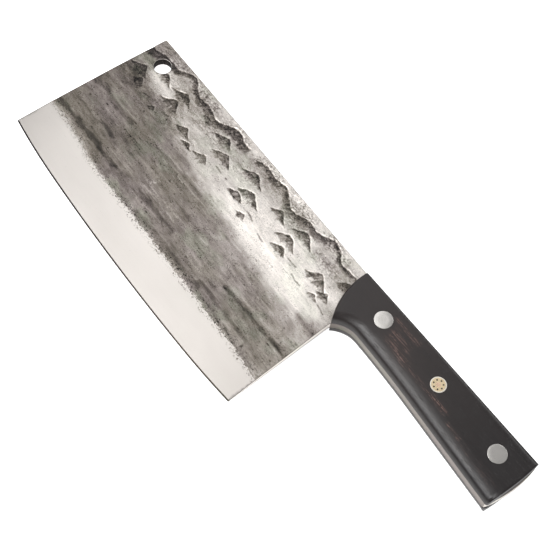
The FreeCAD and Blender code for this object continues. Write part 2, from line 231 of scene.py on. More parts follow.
def ring(pieces, insets, radii, counts):
    """Closed outline inset from the pieces, with rounded corners and a fixed number of points.

    radii[k] rounds the corner before piece k.  The ring starts with the corner before piece 0.
    """
    spare = 3.0 + max(float(np.max(inset)) for inset in insets)
    moved = [inset_line(piece, inset, spare) for piece, inset in zip(pieces, insets)]
    count = len(pieces)
    starts = [0.0] * count
    ends = [0.0] * count
    corners = [None] * count
    for k in range(count):
        ends[k - 1], starts[k], corners[k] = crossing(moved[k - 1], moved[k], pieces[k][0])
    for k in range(count):
        before = along(moved[k - 1], [ends[k - 1] - 0.05, ends[k - 1]])
        after = along(moved[k], [starts[k], starts[k] + 0.05])
        a = before[1] - before[0]
        b = after[1] - after[0]
        turn = abs(math.atan2(a[0] * b[1] - a[1] * b[0], a @ b))
        cut = max(radii[k], 0.02) * math.tan(turn / 2)
        ends[k - 1] -= cut
        starts[k] += cut
    result = []
    for k in range(count):
        a = along(moved[k - 1], [ends[k - 1]])[0]
        b = along(moved[k], [starts[k]])[0]
        c = corners[k]
        half_turn = math.acos(max(-1.0, min(1.0, (c - a) @ (b - c)
                                            / (np.linalg.norm(c - a) * np.linalg.norm(b - c))))) / 2
        w = math.cos(half_turn)
        for t in np.arange(1, CORNER_POINTS + 1) / (CORNER_POINTS + 1):
            weights = ((1 - t) ** 2, 2 * t * (1 - t) * w, t ** 2)
            result.append((weights[0] * a + weights[1] * c + weights[2] * b) / sum(weights))
        result.extend(along(moved[k], np.linspace(starts[k], ends[k], counts[k])))
    return np.array(result)


def ring_weights(counts, chosen):
    """For every point of a ring: 1 on the chosen piece, 0 on the others, a ramp on the corners."""
    result = []
    for k in range(len(counts)):
        before = 1.0 if (k - 1) % len(counts) == chosen else 0.0
        here = 1.0 if k == chosen else 0.0
        result.extend(before + (here - before) * t / (CORNER_POINTS + 1)
                      for t in range(1, CORNER_POINTS + 1))
        result.extend([here] * counts[k])
    return np.array(result)


def inside(points, loop):
    """Whether each point is inside a closed loop."""
    result = np.zeros(len(points), bool)
    x = points[:, 0]
    y = points[:, 1]
    for (x0, y0), (x1, y1) in zip(loop, np.roll(loop, -1, axis=0)):
        if y0 == y1:
            continue
        spans = (y0 > y) != (y1 > y)
        result ^= spans & (x < (x1 - x0) * (y - y0) / (y1 - y0) + x0)
    return result


# ---- meshes

class Builder:
    """Collects points in the design frame and faces, then makes one object."""

    def __init__(self):
        self.points = []
        self.faces = []
        self.count = 0

    def add(self, xy, z):
        """Adds points and returns the numbers they get."""
        z = np.broadcast_to(z, len(xy))
        self.points.append(np.c_[xy, z])
        first = self.count
        self.count += len(xy)
        return np.arange(first, self.count)

    def strip(self, low, high, side=1):
        """Quads between two closed loops of the same length, turned over on the rear side."""
        if side < 0:
            low, high = high, low
        for a, b, c, d in zip(low, np.roll(low, -1), np.roll(high, -1), high):
            self.faces.append((a, b, c, d))

    def cap(self, loop_xy, loop, holes, grid, flip):
        """Fills a loop with triangles, leaving holes open and passing through the grid points.

        The grid is (points, heights).
        """
        grid_xy, grid_z = grid
        kept = inside(grid_xy, loop_xy)
        for hole_xy, _ in holes:
            kept &= ~inside(grid_xy, hole_xy)
        rims = [loop_xy] + [hole_xy for hole_xy, _ in holes]
        tree = KDTree(sum(len(rim) for rim in rims))
        number = 0
        reach = []
        for rim in rims:
            for point, step in zip(rim, np.linalg.norm(rim - np.roll(rim, -1, axis=0), axis=1)):
                tree.insert((point[0], point[1], 0), number)
                reach.append(step)
                number += 1
        tree.balance()
        for k in np.nonzero(kept)[0]:
            _, nearest, away = tree.find((grid_xy[k, 0], grid_xy[k, 1], 0))
            kept[k] = away > 0.45 * max(reach[nearest], 0.35)
        grid_xy = grid_xy[kept]
        numbers = [np.asarray(loop)] + [np.asarray(hole) for _, hole in holes]
        numbers.append(self.add(grid_xy, grid_z[kept]))
        flat = np.vstack(rims + [grid_xy])
        names = np.concatenate(numbers)
        links = []
        first = 0
        for rim in rims:
            size = len(rim)
            links.extend((first + k, first + (k + 1) % size) for k in range(size))
            first += size
        fixed = first
        made = delaunay_2d_cdt([Vector(point) for point in flat.tolist()], links, [], 0, 1e-6)
        source = np.array([ids[0] if ids else -1 for ids in made[3]])
        triangles = source[np.array(made[2])]
        on_rim = (triangles < fixed).all(axis=1)
        keep = np.ones(len(triangles), bool)
        middle = flat[triangles[on_rim]].mean(axis=1)
        fine = inside(middle, loop_xy)
        for hole_xy, _ in holes:
            fine &= ~inside(middle, hole_xy)
        corners = flat[triangles[on_rim]]
        sides = np.roll(corners, -1, axis=1) - corners
        area = np.abs(sides[:, 0, 0] * sides[:, 1, 1] - sides[:, 0, 1] * sides[:, 1, 0])
        fine &= area > 0.003 * np.linalg.norm(sides, axis=2).max(axis=1)
        keep[on_rim] = fine
        triangles = names[triangles[keep]]
        if flip:
            triangles = triangles[:, ::-1]
        self.faces.extend(map(tuple, triangles))

    def build(self, name):
        points = np.vstack(self.points) * MM + ORIGIN
        mesh = bpy.data.meshes.new(name)
        mesh.from_pydata(points.tolist(), [], [tuple(int(i) for i in face) for face in self.faces])
        mesh.validate()
        mesh.update()
        return place(name, mesh)


def paint(thing, **values):
    """Stores one number a point under each name, for the materials to read."""
    for name, numbers in values.items():
        layer = thing.data.attributes.new(name, "FLOAT", "POINT")
        layer.data.foreach_set("value", np.asarray(numbers, np.float32))


def place(name, data):
    """New object that holds the data, linked to the scene."""
    thing = bpy.data.objects.new(name, data)
    bpy.context.scene.collection.objects.link(thing)
    return thing


def smooth(thing, angle):
    """Smooth shading with edges sharper than the angle kept hard."""
    thing.data.polygons.foreach_set("use_smooth", [True] * len(thing.data.polygons))
    thing.data.set_sharp_from_angle(angle=math.radians(angle))
    thing.data.update()


def grid_points(x_range, y_range, step_x, step_y, seed):
    """Rows of points, each row shifted by half a step and every point nudged a little."""
    xs = np.arange(x_range[0], x_range[1], step_x)
    ys = np.arange(y_range[0], y_range[1], step_y)
    x, y = np.meshgrid(xs, ys)
    x = x + (np.arange(len(ys)) % 2)[:, None] * step_x / 2
    nudge = np.random.default_rng(seed).uniform(-0.12, 0.12, (2,) + x.shape)
    return np.c_[(x + nudge[0] * step_x).ravel(), (y + nudge[1] * step_y).ravel()]


# ---- noise on the blade

def ease(x):
    x = np.clip(x, 0, 1)
    return x * x * (3 - 2 * x)


def value_noise(u, v, cell_u, cell_v, seed):
    """Smooth noise between -1 and 1 with cells of the given size in millimetres."""
    table = np.random.default_rng(seed).uniform(-1, 1, (256, 256))
    a = u / cell_u + 40.0
    b = v / cell_v + 40.0
    i = np.floor(a).astype(int)
    j = np.floor(b).astype(int)
    s = ease(a - i)
    t = ease(b - j)
    i0, i1, j0, j1 = i & 255, (i + 1) & 255, j & 255, (j + 1) & 255
    low = table[i0, j0] * (1 - s) + table[i1, j0] * s
    high = table[i0, j1] * (1 - s) + table[i1, j1] * s
    return low * (1 - t) + high * t


def rough_noise(u, v, cell_u, cell_v, seed, octaves=4):
    total = np.zeros_like(u)
    size = 1.0
    worth = 0.0
    for octave in range(octaves):
        total += size * value_noise(u, v, cell_u * 0.5 ** octave, cell_v * 0.5 ** octave, seed + octave)
        worth += size
        size *= 0.55
    return total / worth * 1.6


def cobbles(u, v, cell_u, cell_v, seed):
    """Irregular cells: 0 in the joints rising to 1 in the middle, and one random number a cell."""
    table = np.random.default_rng(seed).uniform(0, 1, (3, 256, 256))
    a = u / cell_u + 30.0
    b = v / cell_v + 30.0
    a = a + 0.5 * (np.floor(b).astype(int) & 1)
    i = np.floor(a).astype(int)
    j = np.floor(b).astype(int)
    nearest = np.full(u.shape, 9.0)
    second = np.full(u.shape, 9.0)
    value = np.zeros(u.shape)
    for di in (-1, 0, 1):
        for dj in (-1, 0, 1):
            ii = (i + di) & 255
            jj = (j + dj) & 255
            x = i + di + 0.15 + 0.7 * table[0, ii, jj]
            y = j + dj + 0.15 + 0.7 * table[1, ii, jj]
            away = np.hypot(a - x, b - y)
            closer = away < nearest
            second = np.where(closer, nearest, np.minimum(second, away))
            value = np.where(closer, table[2, ii, jj], value)
            nearest = np.where(closer, away, nearest)
    return np.clip((second - nearest) * 2.2, 0, 1), value


# ---- relief of the blade face
# Rows of low hills pressed into the steel.  Each hill is a recess that is deepest under its crest
# and runs out downwards.  The layout is generic: its ridges are sums of sines, and its hills and
# grooves are drawn at random from a fixed seed.

def skyline(start, end, phase):
    """Crest and foot of a rolling ridge between two distances from the tip."""
    u = np.arange(start, end + 0.1, 3.0)
    crest = 5.2 + 2.4 * np.sin(u / 7.3 + phase) + 1.3 * np.sin(u / 3.1 + 2 * phase)
    foot = crest + 4.6 + 1.6 * np.sin(u / 11.0 + 3 * phase)
    return list(zip(u, crest)), list(zip(u, foot))


def hill_rows(random):
    """Peak, left foot, right foot, lowest v, depth, darkness at the crest and at the foot."""
    hills = []
    for v, count, size in ((11.0, 7, 15.0), (17.5, 6, 17.0), (24.0, 6, 12.0), (29.0, 4, 8.0)):
        for k in range(count):
            u = (k + 0.5 + random.uniform(-0.3, 0.3)) * 182.0 / count
            peak = v + random.uniform(-1.6, 1.6)
            left, right = size * random.uniform(0.36, 0.62, 2)
            drop = size * random.uniform(0.24, 0.32)
            depth, top, low = random.uniform((0.26, 0.85, 0.3), (0.38, 1.0, 0.8))
            hills.append((u, peak, u - left, peak + drop, u + right, peak + drop * 1.1,
                          peak + drop + 1.2, depth, top, low))
    return hills


def groove_rows(random):
    """Fine grooves: from and to, half width, depth, darkness."""
    grooves = []
    for k in range(12):
        u = (k + random.uniform(0.1, 0.9)) * 15.0
        v = random.uniform(25.0, 33.0)
        grooves.append(((u, v), (u + random.uniform(3, 8), v + random.uniform(-1, 1.5)), 0.4, 0.12, 0.55))
    return grooves


LAYOUT = np.random.default_rng(41)
# Each ridge: crest, foot, depth, darkness at the crest, darkness at the foot
RIDGES = [skyline(-3.0, 84.0, 0.7) + (0.42, 0.95, 0.65),
          skyline(90.0, 177.0, 2.9) + (0.40, 0.90, 0.40)]
HILLS = hill_rows(LAYOUT)
GROOVES = groove_rows(LAYOUT)

# Broad strokes of the finish, placed after the forge and polish marks in the photograph:
# (u, v) from and to, half width, change of brightness
STROKES = [
    ((0, 7), (9, 7), 5.0, -0.08), ((2, 13), (9, 15), 3.0, -0.12), ((0, 25), (12, 27), 4.0, -0.08),
    ((2, 20), (14, 22), 2.9, 0.05), ((1, 31), (30, 31), 4.0, -0.07), ((17, 15), (28, 15), 4.5, 0.14),
    ((18, 20), (32, 21), 4.0, 0.16), ((34, 23), (46, 24), 4.0, -0.02), ((30, 26), (40, 27), 3.0, -0.08),
    ((48, 22), (60, 21), 3.5, 0.06), ((0, 44.6), (34, 46.0), 2.0, -0.10), ((-1, 41), (8, 42), 2.8, -0.13),
    ((0, 52.5), (18, 51.5), 1.6, -0.04), ((0, 11), (3, 11), 2.5, -0.10), ((34, 46.2), (60, 44), 1.6, -0.04),
    ((0, 49.5), (30, 48), 1.6, 0.04), ((24, 58), (36, 58), 1.3, -0.09), ((0, 60), (24, 60), 2.0, -0.03),
    ((30, 53), (60, 56), 5.0, -0.02), ((0, 67.6), (52, 67.0), 1.7, -0.13),
    ((52, 66.6), (60, 66), 1.4, -0.06), ((4, 70.6), (40, 71.2), 1.0, 0.05),
    ((40, 62.5), (69, 62.4), 1.2, 0.06), ((71, 53.5), (71, 57.5), 0.5, 0.22),
    ((72, 53), (98, 54.5), 3.0, -0.08), ((71, 59.4), (98, 58.2), 0.5, 0.12),
    ((70, 61.6), (97, 61.1), 0.45, 0.16), ((71, 65.0), (100, 65.0), 2.0, -0.11),
    ((70, 71.5), (84, 71.0), 2.8, 0.05), ((80, 72.6), (132, 72.4), 1.6, -0.08),
    ((130, 69.6), (173, 70.2), 1.4, -0.09), ((105, 64.5), (165, 64), 3.0, -0.03),
    ((168, 66), (182, 66), 2.8, -0.08), ((24, 60.5), (40, 60.5), 2.7, -0.06),
    ((138, 61.0), (186, 60.4), 0.9, -0.12), ((145, 57.4), (180, 57.4), 0.7, 0.06),
    ((62, 41), (76, 41), 0.45, 0.12), ((76, 45), (98, 43.2), 0.4, 0.14),
    ((50, 43.4), (98, 40.6), 1.0, -0.03), ((60, 46), (100, 47), 2.0, -0.03),
    ((98, 33), (176, 38), 3.5, 0.04), ((100, 30), (160, 33), 3.0, 0.04),
    ((173, 41.6), (187, 42.0), 2.8, -0.34), ((174, 60), (187, 59), 1.4, -0.12),
    ((178, 72), (187, 71), 1.6, -0.05), ((160, 4), (172, 4), 4.0, 0.02), ((163, 15), (174, 15), 4.0, -0.06),
    ((178, 66), (187, 64), 3.0, 0.03), ((178, 55), (187, 56), 3.0, 0.04),
    ((176, 27.5), (186, 30), 2.7, -0.16), ((106, 49), (168, 49), 2.5, 0.03),
    ((90, 55), (128, 52), 2.0, -0.02), ((105, 65), (128, 66), 2.5, 0.01),
]

# Patches of pressed cobble texture: (u, v) from and to, half width, strength, darkness of the joints
STONE = ([((u, 4), (u + 14, 5), 3.6, 0.9, 0.34) for u in (8, 36, 64, 92, 120, 148)]
         + [((u, 14), (u + 12, 15), 3.2, 0.6, 0.30) for u in (22, 56, 88, 124, 152)])


def stroke(u, v, start, end, half_width):
    """1 on the line from start to end, falling to 0 over the half width."""
    du = end[0] - start[0]
    dv = end[1] - start[1]
    place = np.clip(((u - start[0]) * du + (v - start[1]) * dv) / (du * du + dv * dv), 0, 1)
    away = np.hypot(u - start[0] - place * du, v - start[1] - place * dv)
    return np.exp(-(away / half_width) ** 2)


def smooth_line(points):
    """The points joined by a curve without corners, as two rows ready for np.interp."""
    points = np.array(points, float)
    places = np.arange(len(points))
    fine = np.linspace(0, len(points) - 1, 12 * len(points))
    slope = np.gradient(points, axis=0)
    k = np.minimum(fine.astype(int), len(points) - 2)
    t = (fine - places[k])[:, None]
    a, b = points[k], points[k + 1]
    m, n = slope[k], slope[k + 1]
    curve = ((2 * t ** 3 - 3 * t ** 2 + 1) * a + (t ** 3 - 2 * t ** 2 + t) * m
             + (3 * t ** 2 - 2 * t ** 3) * b + (t ** 3 - t ** 2) * n)
    return curve[:, 0], curve[:, 1]


def slope(s):
    """Fall from a rounded top through a straight flank to a foot that flares out."""
    return 0.40 * s + 0.60 * (1 - math.cos(math.pi * s)) / 2


def hill_lines(hill):
    """Crest and foot of a hill given by its peak and feet."""
    pu, pv, lu, lv, ru, rv, low = hill[:7]
    crest = []
    for s in np.linspace(1, 0, 9):
        crest.append((pu + (lu - pu) * s, pv + (lv - pv) * slope(s)))
    for s in np.linspace(0, 1, 9)[1:]:
        crest.append((pu + (ru - pu) * s, pv + (rv - pv) * slope(s)))
    foot = [(lu, lv + 0.3), (pu - (pu - lu) * 0.4, low), (pu + (ru - pu) * 0.5, low), (ru, rv + 0.3)]
    return crest, foot


def relief(u, v, seed):
    """Height of the pressed pattern in millimetres and its darkness."""
    height = np.zeros_like(u)
    dark = np.zeros_like(u)
    wobble_u = u + 0.60 * rough_noise(u, v, 4.0, 4.0, seed + 3, 3)
    wobble_v = v + 0.42 * rough_noise(u, v, 3.2, 3.2, seed + 7, 3)
    shapes = RIDGES + [hill_lines(hill) + hill[7:] for hill in HILLS]
    ragged = rough_noise(u, v, 1.3, 2.2, seed + 11, 3)
    gully = rough_noise(u + 0.5 * v, v, 0.9, 3.0, seed + 15, 3)
    mottle = rough_noise(u, v, 1.5, 1.1, seed + 19, 3)
    for crest, foot, depth, top, low in shapes:
        crest_u, crest_v = smooth_line(crest)
        foot_u, foot_v = smooth_line(foot)
        first, last = crest_u[0], crest_u[-1]
        top_v = np.interp(wobble_u, crest_u, crest_v)
        low_v = np.interp(wobble_u, foot_u, foot_v)
        low_v = np.maximum(low_v, top_v + 0.35)
        span = low_v - top_v
        below = wobble_v - top_v
        ends = ease((wobble_u - first) / 1.5) * ease((last - wobble_u) / 1.5)
        part = below / span
        wall = ease(below / 0.30 + 0.3)
        fall = np.clip(1 - part, 0, 1)
        own = -depth * wall * (0.25 * fall + 0.75 * fall ** 1.5) * ends
        cover = wall * ends * ease((1.45 - part) / 0.45)
        height = height * (1 - cover) + own
        lip = np.exp(-((below + 0.5) / 0.45) ** 2) * ends
        height += 0.07 * lip
        shade = top + (low - top) * ease(part * 1.05)
        shade = shade * np.clip(0.84 + 0.34 * gully + 0.40 * mottle, 0.15, 1.15)
        rim = np.exp(-((below - 0.38) / 0.42) ** 2)
        shade = np.maximum(shade, rim * top * (0.98 + 0.25 * mottle)) * wall
        edge = ease((1.0 - part) / 0.30 + 1.1 * ragged + 0.30)
        shade = shade * edge * ends
        dark = dark * (1 - cover) + shade
        dark -= 0.16 * lip
    for start, end, width, depth, ink in GROOVES:
        mark = stroke(wobble_u, wobble_v, start, end, width)
        height -= depth * mark
        dark += ink * mark
    return height, dark


def stone(u, v, seed):
    """Height and darkness of the cobble texture."""
    height = np.zeros_like(u)
    dark = np.zeros_like(u)
    bent_u = u + 0.8 * rough_noise(u, v, 3.0, 2.0, seed + 21, 3)
    bent_v = v + 0.5 * rough_noise(u, v, 4.0, 1.5, seed + 25, 3)
    joint, tone = cobbles(bent_u, bent_v, 3.1, 1.45, seed + 29)
    breaks = 0.75 + 0.55 * rough_noise(u, v, 3.0, 2.0, seed + 33, 3)
    for start, end, width, strength, ink in STONE:
        here = ease(stroke(u, v, start, end, width) * 1.9) * strength
        height += here * (0.17 * ease(joint) - 0.17 + 0.05 * (tone - 0.5))
        dark += here * ink * breaks * 2.0 * (1.0 - ease(joint * 1.5)) + here * 0.26 * (tone - 0.5)
    return height, dark


def border(u, seed):
    """Distance v at which the forged skin gives way to the ground bevel."""
    line = np.interp(u, [-2, 6, 18, 28, 40, 60, 95, 130, 165, 186, 192],
                     [71.6, 71.0, 71.8, 72.9, 75.3, 75.8, 75.9, 75.8, 76.5, 78.2, 78.6])
    return line + 0.35 * rough_noise(u, u * 0, 7.0, 5.0, seed + 41, 3)


def skin_tone(u, v, seed):
    """Brightness of the forged skin as it would be seen, from 0 to 1."""
    bend_u = u + 4.0 * rough_noise(u, v, 22.0, 12.0, seed + 51, 3)
    bend_v = v + 1.6 * rough_noise(u, v, 16.0, 6.0, seed + 55, 4)
    shelf = np.interp(bend_u, [-5, 14, 22, 40, 60, 80, 110, 135, 145, 157, 175, 190],
                      [15, 17, 27, 26, 34, 37.3, 40, 42, 45.5, 45.5, 43.5, 47])
    light = np.interp(bend_u, [-5, 6, 16, 28, 50, 75, 100, 120, 165, 178, 190],
                      [0.52, 0.53, 0.635, 0.64, 0.675, 0.755, 0.815, 0.87, 0.875, 0.84, 0.75])
    field = np.interp(bend_u, [-5, 10, 40, 70, 100, 120, 150, 175, 190],
                      [0.495, 0.505, 0.495, 0.53, 0.555, 0.565, 0.56, 0.58, 0.70])
    field = field + np.interp(bend_v, [20, 40, 48, 54, 58, 64, 70, 76],
                              [-0.03, 0.00, 0.00, -0.03, -0.02, -0.04, -0.06, -0.01])
    depth = ease((bend_v - shelf) / 9.0 + 0.5)
    tone = light * (1 - depth) + field * depth
    upper = ease((22.0 - bend_v) / 12.0)
    tone = tone - upper * (light - 0.66) * 0.75
    tone += ease((6 - v) / 3) * np.interp(u, [0, 24, 40, 56, 70, 90, 110, 150, 175],
                                          [-0.04, -0.03, 0.09, 0.10, 0.14, 0.13, 0.13, 0.11, 0.06])
    ragged_u = u + 1.5 * rough_noise(u, v, 9.0, 2.0, seed + 61, 2)
    ragged_v = v + 0.45 * rough_noise(u, v, 6.0, 1.6, seed + 65, 3)
    torn = rough_noise(u, v, 3.6, 1.1, seed + 63, 4)
    for start, end, width, change in STROKES:
        mark = stroke(ragged_u, ragged_v, start, end, width)
        if width < 2.7:
            mark = ease((mark - 0.30 + 0.42 * torn) / 0.46) * (1.25 if change < 0 else 0.75)
        tone += change * mark
    return tone


def skin(u, v, seed, mirrored=False):
    """Everything about the blade face: height, brightness, grit and distance past the border."""
    if mirrored:
        u = MIRROR_LENGTH - u
    height, ink = relief(u, v, seed)
    stone_height, stone_ink = stone(u, v, seed)
    height += stone_height
    past = v - border(u, seed)
    forged = ease(-past / 1.6)
    band = ease((36.0 - v) / 6.0)
    tone = skin_tone(u, v, seed)
    blotch = rough_noise(u, v, 2.2, 1.3, seed + 71, 4)
    grain = rough_noise(u, v, 14.0, 1.1, seed + 75, 4)
    cloud = rough_noise(u, v, 11.0, 6.0, seed + 79, 4)
    scuff = rough_noise(u + 0.6 * v, v - 0.3 * u, 5.0, 1.6, seed + 89, 4)
    patch = np.tanh(3.0 * rough_noise(u, v, 8.0, 3.0, seed + 93, 5))
    loud = 1 - 0.62 * ease((tone - 0.66) / 0.14)
    tone = tone + ((0.050 * band + 0.028) * blotch + 0.045 * grain * (1 - 0.7 * band)) * loud
    tone += (0.045 * cloud + 0.040 * scuff + 0.020 * patch) * (0.35 + 0.65 * loud)
    ink = ink * (1 + 0.35 * blotch) + stone_ink
    tone = tone * (1 - 0.62 * np.clip(ink, -0.5, 1.1)) - 0.03 * np.clip(ink, 0, 1)
    dents = 0.05 * rough_noise(u, v, 9.0, 7.0, seed + 81, 3)
    dents = dents + 0.018 * rough_noise(u, v, 2.0, 1.2, seed + 85, 3)
    height = height + dents * (0.5 + 0.5 * band)
    bare_run = u - (MIRROR_LENGTH - SCALE_SEAT_U) if mirrored else SCALE_SEAT_U - u
    seat = ease(bare_run / 3.0)
    height = height * forged * seat
    grit = np.clip(0.35 + 0.65 * band, 0, 1) * loud + np.clip(ink, 0, 0.6)
    return height, tone, grit, past


def blade_coordinates(points):
    return points[:, 0] - TIP_TOP[0], SPINE_Y - points[:, 1]


def side_skin(points, side):
    """The skin at points of the front (1) or rear (-1) face."""
    u, v = blade_coordinates(points)
    return skin(u, v, SKIN_SEEDS[side], side < 0)


def steel_half(y):
    return np.interp(y, [0, BEVEL_Y, GRIND_Y], [EDGE_HALF, BEVEL_HALF, STEEL_HALF])


# ---- blade

# The blade's walls are uncoated steel.  Each tone is a display brightness, set so that the wall looks
# as it does in the photograph, so the light and shade on each wall is painted into its tone.  The
# hanging hole's wall is the exception: it is dark with oxide.
HOLE_WALL_TONE = 0.20
HOLE_RIM_TONE = 0.9
TANG_TONE = 0.60
BUTT_TONE = 0.95
CUT, HEEL_WALL, BELLY, BUTT, TOP, SHOULDER, SPINE, TIP = range(8)


def wall_tones(points, rings, counts, cut):
    """How far each point is on the cutting edge, and the tone of the steel walls with their painted light
    and shade, 0 on the faces.
    """
    edge = np.zeros(len(points))
    bare = np.zeros(len(points))
    for side in (1, -1):
        for number, value in ((1, 0.90), (2, 0.96), (3, 0.96)):
            edge[rings[side][number]] = cut
            bare[rings[side][number]] = value * (1 - cut)
        # The walls along the handle's top, the shoulder, the spine and the tip get darker tones: painted
        # shade.
        for piece in (TOP, SHOULDER, SPINE, TIP):
            hidden = ring_weights(counts, piece) > 0.5
            for number, value in ((2, 0.66), (3, 0.60)):
                bare[rings[side][number][hidden]] = value
    # On the rear face the heel wall's edge darkens towards the spine: painted shade.
    heel = ring_weights(counts, HEEL_WALL) > 0.3
    for numbers in rings[-1][1:3]:
        low_edge = numbers[heel]
        bare[low_edge] = np.interp(points[low_edge, 1], [4, 45, 66], [0.42, 0.34, 0.26])
    # The belly walls darken towards the neck, and the ring next to the rear face is darkest: painted shade.
    belly = ring_weights(counts, BELLY) > 0.5
    for side, number, share in ((1, 1, 1.1), (1, 2, 1.0), (1, 3, 1.0), (-1, 3, 0.96), (-1, 2, 0.90),
                                (-1, 1, 0.5)):
        low_edge = rings[side][number][belly]
        bare[low_edge] = share * np.interp(points[low_edge, 0], [185, 189, 195, 206],
                                           [0.52, 0.54, 0.58, 0.62])
    tang = (points[:, 0] > HEEL[0] + 0.1) & (bare == 0)
    bare[tang] = TANG_TONE
    # The butt walls are given the brightest tone: painted light.
    butt = ring_weights(counts, BUTT) > 0.5
    for side, number in ((1, 1), (1, 2), (1, 3), (-1, 3), (-1, 2)):
        bare[rings[side][number][butt]] = BUTT_TONE
    return edge, bare


def keep_keen(blade, rings, cut, count):
    """Marks both lines of the cutting edge as sharp."""
    keen = np.zeros(count, bool)
    for side in (1, -1):
        for numbers in rings[side][:2]:
            keen[numbers[cut > 0.9]] = True
    for line in blade.data.edges:
        if keen[line.vertices[0]] and keen[line.vertices[1]]:
            line.use_edge_sharp = True


def make_blade():
    pieces = [cutting_edge(), straight(HEEL, neck_front(NECK_X))]
    pieces += grip_pieces(NECK_X, BUTT_X, BUTT_LOW_X, BUTT_RADIUS)
    shoulder_top = (HANDLE_FRONT[0], SPINE_Y)
    pieces += [straight(HANDLE_FRONT, shoulder_top, 6), straight(shoulder_top, TIP_TOP),
               straight(TIP_TOP, TIP_FOOT)]
    counts = [260, 90, 130, 30, 110, 4, 320, 150]
    radii = [0.5, 0.6, 3.0, 1.5, 1.5, 0.9, 0.35, 0.6]
    cut = ring_weights(counts, CUT)
    others = len(pieces) - 1

    def level(edge_inset, inset, edge_share, edge_z, drop):
        """Ring at an inset, with the height that its points have above the middle plane."""
        xy = ring(pieces, [edge_inset] + [inset] * others, radii, counts)
        half = steel_half(xy[:, 1])
        rest = half - np.minimum(drop, half * 0.7)
        return xy, cut * (edge_share * half + edge_z) + (1 - cut) * rest

    levels = [level(0.80, 0.28, 1.0, 0.0, 0.0), level(0.68, 0.09, 0.84, 0.01, 0.08),
              level(SEAM, SEAM, 0.0, 0.07, 0.28), level(SEAM, SEAM, 0.0, 0.035, 1.6)]
    body = Builder()
    rings = {}
    for side in (1, -1):
        rings[side] = []
        for number, (xy, z) in enumerate(levels):
            sunk = side_skin(xy, side)[0] * (1 - cut)
            sunk = sunk * (1.0, 0.7, 0.3, 0.0)[number]
            rings[side].append(body.add(xy, side * (z + np.minimum(sunk, RISE_LIMIT))))
    for side in (1, -1):
        loops = rings[side]
        for low, high in zip(loops[1:], loops[:-1]):
            body.strip(low, high, side)
    body.strip(rings[-1][-1], rings[1][-1])

    holes = {1: [], -1: []}
    wall_points = []
    rim_points = []
    bores = [(HOLE, HOLE_RADIUS, 72, HOLE_CHAMFER)]
    bores += [((x, RIVET_Y), RIVET_SLEEVE_RADIUS, 32, 0.0) for x in RIVET_XS]
    bores += [(MOSAIC, MOSAIC_RADIUS, 32, 0.0)]
    for centre, radius, count, chamfer in bores:
        rims = {}
        for side in (1, -1):
            outer = circle(centre, radius + chamfer, count)
            top = body.add(outer, side * STEEL_HALF)
            holes[side].append((outer, top))
            rims[side] = [top]
            if chamfer:
                rims[side].append(body.add(circle(centre, radius + 0.3 * chamfer, count),
                                           side * (STEEL_HALF - 0.22 * chamfer)))
                rims[side].append(body.add(circle(centre, radius, count),
                                           side * (STEEL_HALF - chamfer)))
                rim_points.extend(rims[side][1])
                wall_points.extend(rims[side][2])
        for side in (1, -1):
            for top, low in zip(rims[side][:-1], rims[side][1:]):
                body.strip(top, low, side)
        body.strip(rims[1][-1], rims[-1][-1])

    for side, fine, coarse in ((1, 0.42, 0.75), (-1, 0.62, 1.1)):
        loop_xy = levels[0][0]
        seed = SKIN_SEEDS[side]
        xy = np.vstack([
            grid_points((0.2, 175.2), (64.2, SPINE_Y), fine, fine * 0.9, seed),
            grid_points((175.2, 188), (64.2, 72), fine, fine * 0.9, seed + 1),
            grid_points((0.2, 189), (29.6, 63.9), coarse, coarse * 0.8, seed + 2),
            grid_points((0.2, 189), (18.0, 29.2), coarse * 0.8, coarse * 0.7, seed + 3),
            grid_points((0.6, 189), (0.9, 17.6), 1.5, 1.4, seed + 4),
            grid_points((176.5, 297), (69, 98), 3.0, 3.0, seed + 5),
        ])
        height = side_skin(xy, side)[0]
        rim_gap = np.hypot(xy[:, 0] - HOLE[0], xy[:, 1] - HOLE[1]) - HOLE_RADIUS - HOLE_CHAMFER
        height = height * ease(rim_gap / 1.0)
        z = side * (steel_half(xy[:, 1]) + height)
        body.cap(loop_xy, rings[side][0], holes[side], (xy, z), side < 0)

    blade = body.build("forged_blade")
    points = np.vstack(body.points)
    edge, bare = wall_tones(points, rings, counts, cut)
    u, v = blade_coordinates(points)
    front = points[:, 2] > 0
    found = zip(side_skin(points, 1), side_skin(points, -1))
    _, tone, grit, past = (np.where(front, ahead, behind) for ahead, behind in found)
    tone[wall_points] = HOLE_WALL_TONE
    # The hole's chamfer is ground steel; its high tone is partly a painted highlight.
    bare[rim_points] = HOLE_RIM_TONE
    # The ground bevel's polish with painted light on it: brightest just behind the tip, falling off towards
    # the heel, and darker towards the cutting edge on the front part.
    polish = np.interp(u, [0, 8, 22, 35, 55, 75, 105, 135, 165, 190],
                       [0.84, 0.845, 0.872, 0.872, 0.86, 0.84, 0.822, 0.80, 0.78, 0.752])
    polish -= 0.035 * np.clip((v - 77) / 14, 0, 1) * np.interp(u, [0, 80, 130], [1.0, 0.8, 0.0])
    fuzz = np.interp(u, [24, 44, 58, 64], [1.0, 0.45, 0.2, 0.0])
    paint(blade, tone=tone, grit=grit, past=past, edge=edge, bare=bare, fuzz=fuzz, polish=polish)
    smooth(blade, 50)
    keep_keen(blade, rings, cut, len(points))
    return blade


# ---- scales

def quarter(reach, depth, count=12):
    """Rounded edge as (inset, drop) from its foot on the wall to the outer face."""
    turns = np.linspace(0, math.pi / 2, count)
    return [(reach * (1 - math.cos(turn)), depth * (1 - math.sin(turn))) for turn in turns]


